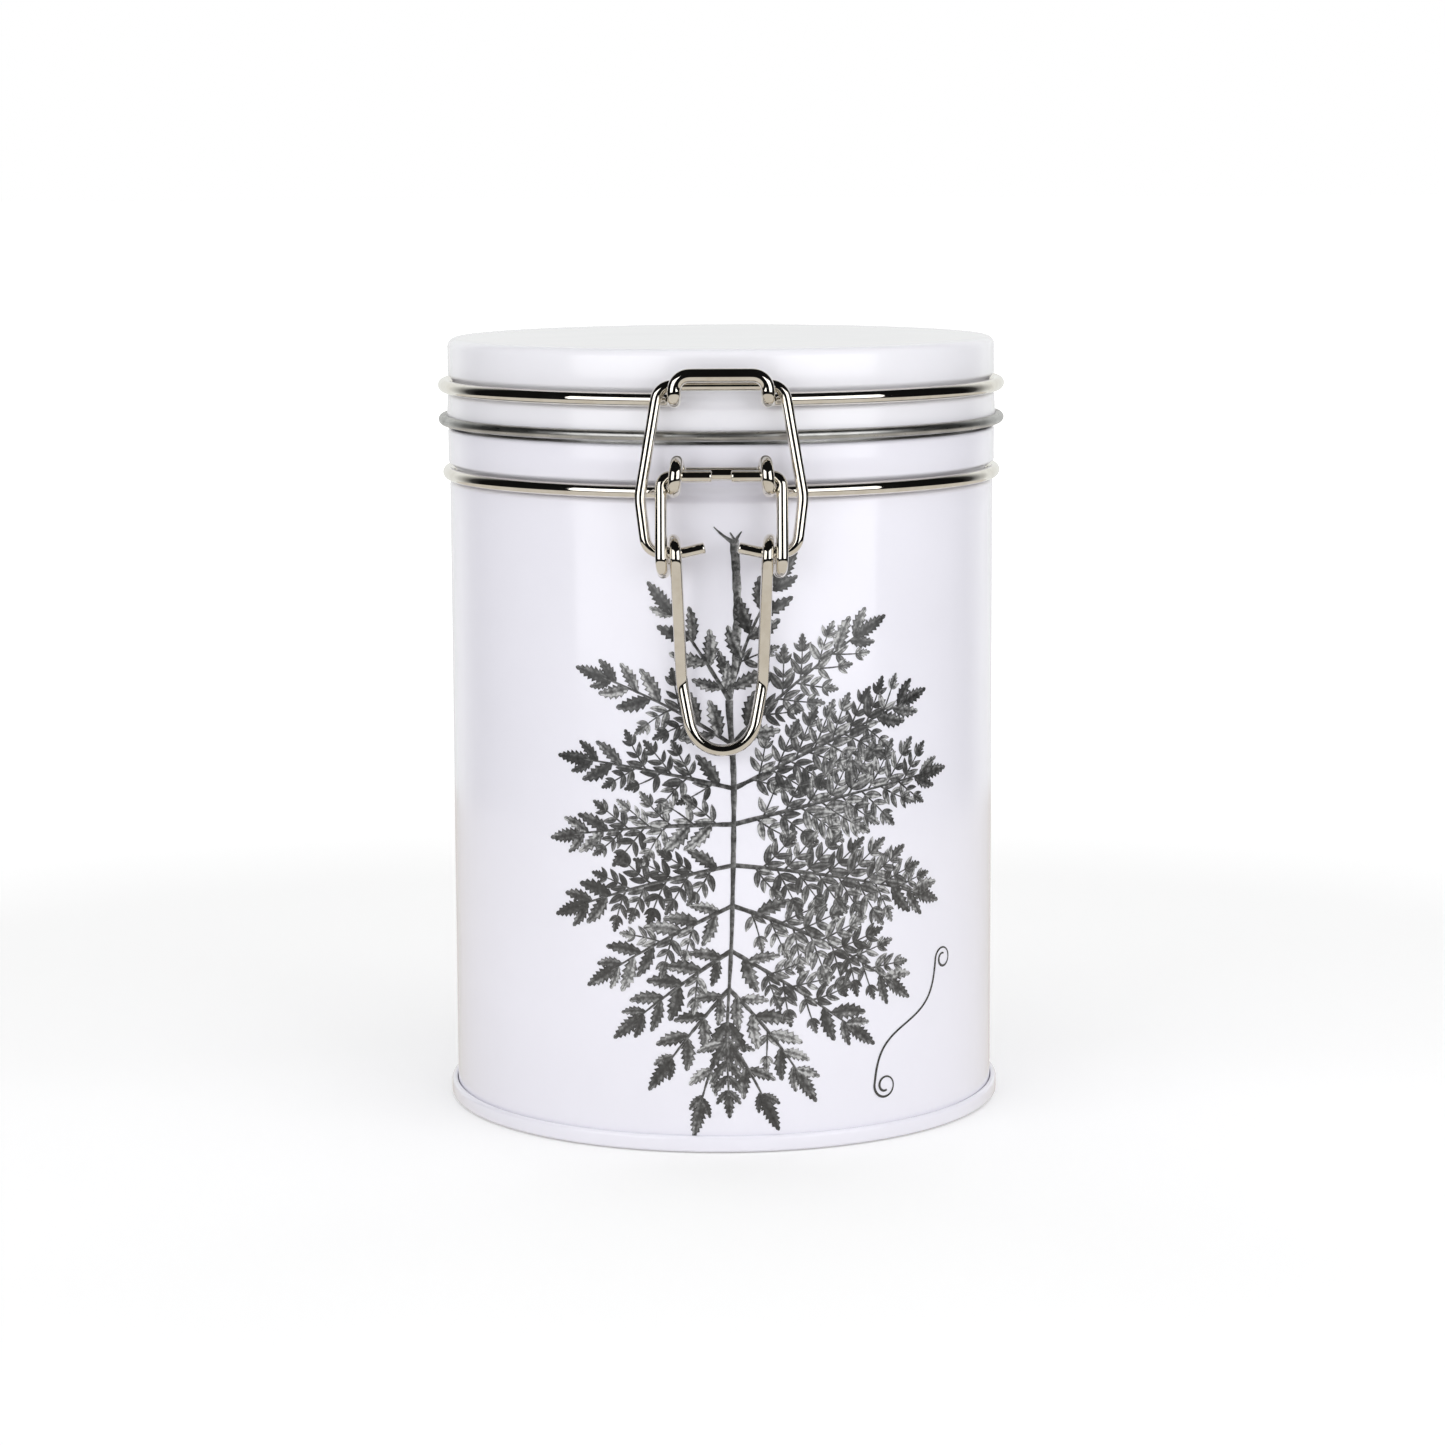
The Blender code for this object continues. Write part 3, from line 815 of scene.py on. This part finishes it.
def leaf(film, base, way, length, width, tone, teeth=0, bend=0.0):
    """A lance-shaped leaflet with a dark midrib, and saw teeth on its edge where asked."""
    rows = 7 if not teeth else 2 * teeth + 3
    s, z = base
    grid = []
    heading = way
    step = length / (rows - 1)
    light_side = film.chance.choice((-1, 1))
    for i in range(rows):
        t = i / (rows - 1)
        half = 0.5 * width * max(0.03, sin(pi * min(1.0, t * 0.96 + 0.02) ** 0.8)) ** 0.8
        if teeth and 0 < i < rows - 1:
            half *= 1.18 if i % 2 else 0.72
        sweep = 0.25 * half if teeth and i % 2 else 0.0
        ahead = (cos(heading) * sweep, sin(heading) * sweep)
        across = (-sin(heading) * half, cos(heading) * half)
        grid.append(
            [
                (s + across[0] * k + ahead[0] * abs(k), z + across[1] * k + ahead[1] * abs(k))
                for k in (-1, -0.5, 0, 0.5, 1)
            ]
        )
        s += cos(heading) * step
        z += sin(heading) * step
        heading += bend / rows

    def tone_of(i, j):
        side = (j - 2) * light_side
        wash = 1.0 + 0.3 * side / 2
        rib = (0.62, 1.2, 0.6, 1.2, 0.62)[j]
        tip = 0.8 + 0.35 * (i / (rows - 1))
        return min(1.0, tone * wash * rib * tip)

    film.sheet(grid, tone_of)


def walk(start, way, length, steps, curl):
    """Points along a gently curving line, and the way it heads at each one."""
    path = [start]
    ways = [way]
    for _ in range(steps):
        s, z = path[-1]
        path.append((s + cos(way) * length / steps, z + sin(way) * length / steps))
        way += curl / steps
        ways.append(way)
    return path, ways


def sprig(film, start, way, length, tone):
    """A small frond: a thin rib, leaflets in pairs and a toothed leaf at its tip."""
    chance = film.chance
    path, ways = walk(start, way, length * 0.72, 12, chance.uniform(-0.25, 0.25))
    stroke(film, path, 0.4, 0.22, 0.3)
    pairs = max(2, round(length / 3.1))
    for n in range(pairs):
        share = 0.14 + 0.74 * n / max(1, pairs - 1)
        i = round(share * 12)
        for side in (-1, 1):
            reach = length * 0.41 * (1.1 - 0.45 * share) * chance.uniform(0.88, 1.12)
            turn = side * radians(chance.uniform(40, 54))
            shade = tone * chance.uniform(0.7, 1.3)
            wide = reach * chance.uniform(0.36, 0.44)
            leaf(film, path[i], ways[i] + turn, reach, wide, shade, 0, -side * 0.35)
    leaf(film, path[-2], ways[-1], length * 0.42, length * 0.2, tone * 0.85, 4)


def branch(film, root, way, length, curl):
    """A side branch: a curved rib with sprigs near the stem and toothed leaves further out."""
    chance = film.chance
    steps = 30
    path, ways = walk(root, way, length, steps, curl)
    stroke(film, path, 0.9, 0.3, 0.34)
    pairs = max(3, round(length / 4.7))
    family = chance.uniform(0.34, 0.6)
    for n in range(pairs):
        share = 0.12 + 0.8 * n / max(1, pairs - 1)
        for side in (-1, 1):
            i = min(steps, round((share + 0.025 * side) * steps))
            reach = 3.4 + 0.165 * length * sin(pi * (0.15 + 0.78 * share))
            reach *= chance.uniform(0.9, 1.12)
            turn = side * radians(chance.uniform(44, 56) - 8 * share)
            tone = family * chance.uniform(0.6, 1.5)
            if reach > 7.6:
                sprig(film, path[i], ways[i] + turn, reach, tone)
            else:
                wide = reach * chance.uniform(0.34, 0.42)
                leaf(film, path[i], ways[i] + turn, reach, wide, tone, 5, -side * 0.4)
    leaf(film, path[-3], ways[-1], 8.0, 2.7, family * 0.7, 7)


def fern():
    """A generic fern frond that hangs from its stalk, in grey wash."""
    film = Film(seed=FERN_SEED)
    chance = film.chance
    top, crotch, tip = STEM_TOP_Z_MM, STEM_CROTCH_Z_MM, STEM_TIP_Z_MM
    stem = spline(
        [
            (2.4, top),
            (2.9, crotch + 0.62 * (top - crotch)),
            (2.5, crotch + 0.25 * (top - crotch)),
            (1.3, crotch),
            (2.1, crotch - 0.2 * (crotch - tip)),
            (1.6, crotch - 0.55 * (crotch - tip)),
            (0.6, crotch - 0.8 * (crotch - tip)),
            (0.9, tip + 4.0),
        ],
        80,
    )
    fork = min(range(len(stem)), key=lambda k: abs(stem[k][1] - crotch))
    stroke(film, stem[: fork + 1], 1.7, 1.3, 0.5)
    stroke(film, stem[fork:], 1.3, 0.3, 0.36)
    for reach, way in ((5.0, 150), (2.6, 62), (2.2, 100)):
        twig, _ = walk((2.4, top - 0.6), radians(way), reach, 6, chance.uniform(-0.6, 0.6))
        stroke(film, twig, 0.9, 0.2, 0.42)
    for n in range(FERN_ROWS):
        share = n / (FERN_ROWS - 1)
        z = crotch - (crotch - tip) * 0.80 * share
        i = min(range(len(stem)), key=lambda k: abs(stem[k][1] - z))
        for side, steepest, widest in ((1, 80, 46), (-1, 60, 36)):
            angle = steepest - (steepest + 58) * share**0.7 + chance.uniform(-4, 4)
            way = radians(angle if side > 0 else 180 - angle)
            fullness = sin(pi * (0.12 + 0.8 * share)) ** 0.9 * (1 - 0.55 * share**2)
            length = (10 + (widest - 10) * fullness) * chance.uniform(0.95, 1.05)
            branch(film, stem[i], way, length, -side * radians(chance.uniform(4, 22)))
    for k in range(5):
        i = len(stem) - 2 - 3 * k
        for side in (-1, 1):
            way = radians(-90) + side * radians(48 - 3 * k)
            leaf(film, stem[i], way, 3.6 + 0.8 * k, 1.5 + 0.25 * k, 0.4, 4, -side * 0.3)
    leaf(film, stem[-2], radians(-88), 5.5, 2.0, 0.34, 5)
    return film.piece("printed_fern", INK)


def flourish():
    """A plain pen line that rises to the right and ends in a curl at each end."""
    film = Film(seed=5)
    start, end = Vector(FLOURISH_START_MM), Vector(FLOURISH_END_MM)
    along = (end - start).normalized()
    across = Vector((-along.y, along.x))
    span = (end - start).length
    path = []
    count = 260
    for k in range(count + 1):
        t = k / count
        place = start + along * (span * t) + across * (FLOURISH_SWING_MM * sin(2 * pi * t))
        path.append(tuple(place))
    first = spiral(path[0], headings(path)[0] + pi, 2.6, 1.35, 1)
    last = spiral(path[-1], headings(path)[-1], 2.4, 1.3, -1)
    path = list(reversed(first)) + path[1:-1] + last
    ways = headings(path)
    grid = []
    for (s, z), way in zip(path, ways):
        press = 0.5 + 0.5 * sin(way - 0.4)
        half = 0.15 + 0.11 * press
        grid.append([(s - sin(way) * half * k, z + cos(way) * half * k) for k in (-1, 0, 1)])
    film.sheet(grid, lambda i, j: 0.22)
    return film.piece("printed_flourish", INK)


def spiral(start, way, radius, turns, side):
    """A curl that tightens as it goes, as (s, z) points from start."""
    path = [start]
    heading = way
    steps = 60
    for k in range(steps):
        size = radius * (1 - 0.62 * k / steps)
        stride = 2 * pi * turns * size / steps
        heading += side * 2 * pi * turns / steps
        s, z = path[-1]
        path.append((s + cos(heading) * stride, z + sin(heading) * stride))
    return path


# ---------------------------------------------------------------- studio


def floor():
    """White to the eye, faintly shaded round the tin; to glossy rays a small beige glow out to 0.4
    m, a painted reflection in the wire.
    """
    bpy.ops.mesh.primitive_plane_add(size=30, location=(0, 0, -0.0002))
    plane = bpy.context.object
    plane.name = "studio_floor"
    material, nodes, links, shader = new_material("floor_white", (0.8, 0.8, 0.8), 0.8)
    shader.inputs["Specular IOR Level"].default_value = 0.0
    path = nodes.new("ShaderNodeLightPath")
    place = nodes.new("ShaderNodeTexCoord")
    far = nodes.new("ShaderNodeVectorMath")
    far.operation = "LENGTH"
    links.new(place.outputs["Object"], far.inputs[0])
    away = far.outputs["Value"]
    lift = nodes.new("ShaderNodeEmission")
    links.new(remap(nodes, links, away, FLOOR_LIFT, 1.1, 0.25, 1.2), lift.inputs["Strength"])
    seen = nodes.new("ShaderNodeAddShader")
    # Painted reflection: a beige emission that only glossy rays see near the tin, put there for the
    # wire to reflect; further out the floor turns transparent to them.
    painted_reflection_glow = nodes.new("ShaderNodeEmission")
    painted_reflection_glow.inputs["Color"].default_value = (0.66, 0.62, 0.56, 1)
    beyond = nodes.new("ShaderNodeBsdfTransparent")
    edge = nodes.new("ShaderNodeMixShader")
    by_eye = nodes.new("ShaderNodeMixShader")
    by_wire = nodes.new("ShaderNodeMixShader")
    links.new(shader.outputs["BSDF"], seen.inputs[0])
    links.new(lift.outputs["Emission"], seen.inputs[1])
    links.new(remap(nodes, links, away, 0.0, 1.0, 0.38, 0.42), edge.inputs["Fac"])
    links.new(painted_reflection_glow.outputs["Emission"], edge.inputs[1])
    links.new(beyond.outputs["BSDF"], edge.inputs[2])
    links.new(path.outputs["Is Camera Ray"], by_eye.inputs["Fac"])
    links.new(shader.outputs["BSDF"], by_eye.inputs[1])
    links.new(seen.outputs["Shader"], by_eye.inputs[2])
    links.new(path.outputs["Is Glossy Ray"], by_wire.inputs["Fac"])
    links.new(by_eye.outputs["Shader"], by_wire.inputs[1])
    links.new(edge.outputs["Shader"], by_wire.inputs[2])
    links.new(by_wire.outputs["Shader"], nodes["Material Output"].inputs["Surface"])
    plane.data.materials.append(material)


def softbox(name, azimuth, elevation, distance, size, radiance):
    """A rectangular lamp that faces the tin; azimuth is in degrees from the front towards +X."""
    light = bpy.data.lights.new(name, "AREA")
    light.shape = "RECTANGLE"
    light.size, light.size_y = size
    light.energy = radiance * pi * size[0] * size[1]
    lamp = linked(bpy.data.objects.new(name, light))
    target = Vector((0, 0, 0.08))
    turn, lift = radians(azimuth), radians(elevation)
    way = Vector((sin(turn) * cos(lift), -cos(turn) * cos(lift), sin(lift)))
    lamp.location = target + way * distance
    lamp.rotation_euler = way.to_track_quat("Z", "Y").to_euler()
    lamp.visible_camera = False
    return lamp


def world():
    """White to the eye; an even dim fill for soft light; a dark room with a pale back for gloss."""
    scene_world = bpy.data.worlds.new("studio")
    bpy.context.scene.world = scene_world
    scene_world.use_nodes = True
    nodes, links = scene_world.node_tree.nodes, scene_world.node_tree.links
    fill = nodes["Background"]
    fill.inputs["Color"].default_value = (1, 1, 1, 1)
    fill.inputs["Strength"].default_value = FILL
    seen = nodes.new("ShaderNodeBackground")
    seen.inputs["Color"].default_value = (1, 1, 1, 1)
    room = nodes.new("ShaderNodeBackground")
    place = nodes.new("ShaderNodeTexCoord")
    split = nodes.new("ShaderNodeSeparateXYZ")
    links.new(place.outputs["Generated"], split.inputs["Vector"])
    back = remap(nodes, links, split.outputs["Y"], 0.0, 1.0, 0.45, 0.85)
    low = remap(nodes, links, split.outputs["Z"], 1.0, 0.0, 0.75, 0.95)
    both = nodes.new("ShaderNodeMath")
    both.operation = "MULTIPLY"
    links.new(back, both.inputs[0])
    links.new(low, both.inputs[1])
    tones = [(0.0, (0.006, 0.006, 0.006)), (0.3, (0.05, 0.05, 0.05)), (0.9, (0.85, 0.86, 0.84))]
    links.new(ramp(nodes, links, both.outputs[0], tones), room.inputs["Color"])
    path = nodes.new("ShaderNodeLightPath")
    by_gloss = nodes.new("ShaderNodeMixShader")
    by_eye = nodes.new("ShaderNodeMixShader")
    links.new(path.outputs["Is Glossy Ray"], by_gloss.inputs["Fac"])
    links.new(fill.outputs["Background"], by_gloss.inputs[1])
    links.new(room.outputs["Background"], by_gloss.inputs[2])
    links.new(path.outputs["Is Camera Ray"], by_eye.inputs["Fac"])
    links.new(by_gloss.outputs["Shader"], by_eye.inputs[1])
    links.new(seen.outputs["Background"], by_eye.inputs[2])
    links.new(by_eye.outputs["Shader"], nodes["World Output"].inputs["Surface"])


def camera():
    """About 0.79 m in front of the tin, a little above it and looking slightly down."""
    lens = bpy.data.cameras.new("camera")
    lens.lens = CAMERA_LENS_MM
    lens.sensor_width = 36
    lens.clip_start = 0.01
    eye = linked(bpy.data.objects.new("camera", lens))
    tilt = Matrix.Rotation(radians(90 - CAMERA_DOWN_DEG), 4, "X")
    tilt = tilt @ Matrix.Rotation(CAMERA_ROLL, 4, "Z")
    eye.matrix_world = Matrix.Translation(CAMERA_PLACE) @ tilt
    bpy.context.scene.camera = eye


def studio():
    scene = bpy.context.scene
    scene.view_settings.view_transform = "Standard"
    floor()
    world()
    softbox("left_box", -42, 12, 1.0, (0.76, 0.68), 1.95)
    softbox("right_box", 44, 12, 1.0, (0.82, 0.68), 1.95)
    softbox("front_fill", 0, 30, 1.3, (1.2, 0.8), 0.7).visible_glossy = False
    for name, azimuth, elevation, radiance in (
        ("top_fill", 0, 80, 1.1),
        ("left_fill", -80, 25, 0.6),
        ("right_fill", 80, 25, 0.8),
        ("back_left_fill", -150, 30, 0.9),
        ("back_right_fill", 150, 30, 0.9),
    ):
        softbox(name, azimuth, elevation, 1.2, (1.0, 0.9), radiance).visible_glossy = False
    camera()


# ---------------------------------------------------------------- assembly

ENAMEL_BODY = enamel("enamel_body", (0.85, 0.84, 0.91))
ENAMEL_LID = enamel("enamel_lid", (0.86, 0.855, 0.90), 0.2, 0.02)
TINPLATE = bare_tinplate("tinplate")
LACQUER = lacquer("lacquered_tinplate")
NICKEL = nickel("nickel_wire")
SILICONE = silicone("silicone")
INK = printed_ink("grey_ink")

PIECES = [
    (body_shell, "can", "body_shell", "body_enamel"),
    (base_plate, "can", "base_plate", "base_enamel"),
    (mouth_collar, "can", "mouth_collar", "collar_tinplate"),
    (neck_ring, "can", "neck_ring", "neck_ring_nickel"),
    (side_seam, "can", None, "body_enamel"),
    (fern, "can", None, "body_enamel"),
    (flourish, "can", None, "body_enamel"),
    (lid_cover, "lid", "lid_cover", "lid_enamel"),
    (lid_seal, "lid", "lid_seal", "seal_silicone"),
    (lid_ring, "lid", "lid_ring", "lid_ring_nickel"),
    (closing_lever, "lever", "closing_lever", "lever_nickel"),
    (closing_link, "link", "closing_link", "link_nickel"),
]

for make, body, node, slot in PIECES:
    piece = make()
    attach(piece, body)
    if node:
        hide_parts(node)

studio()
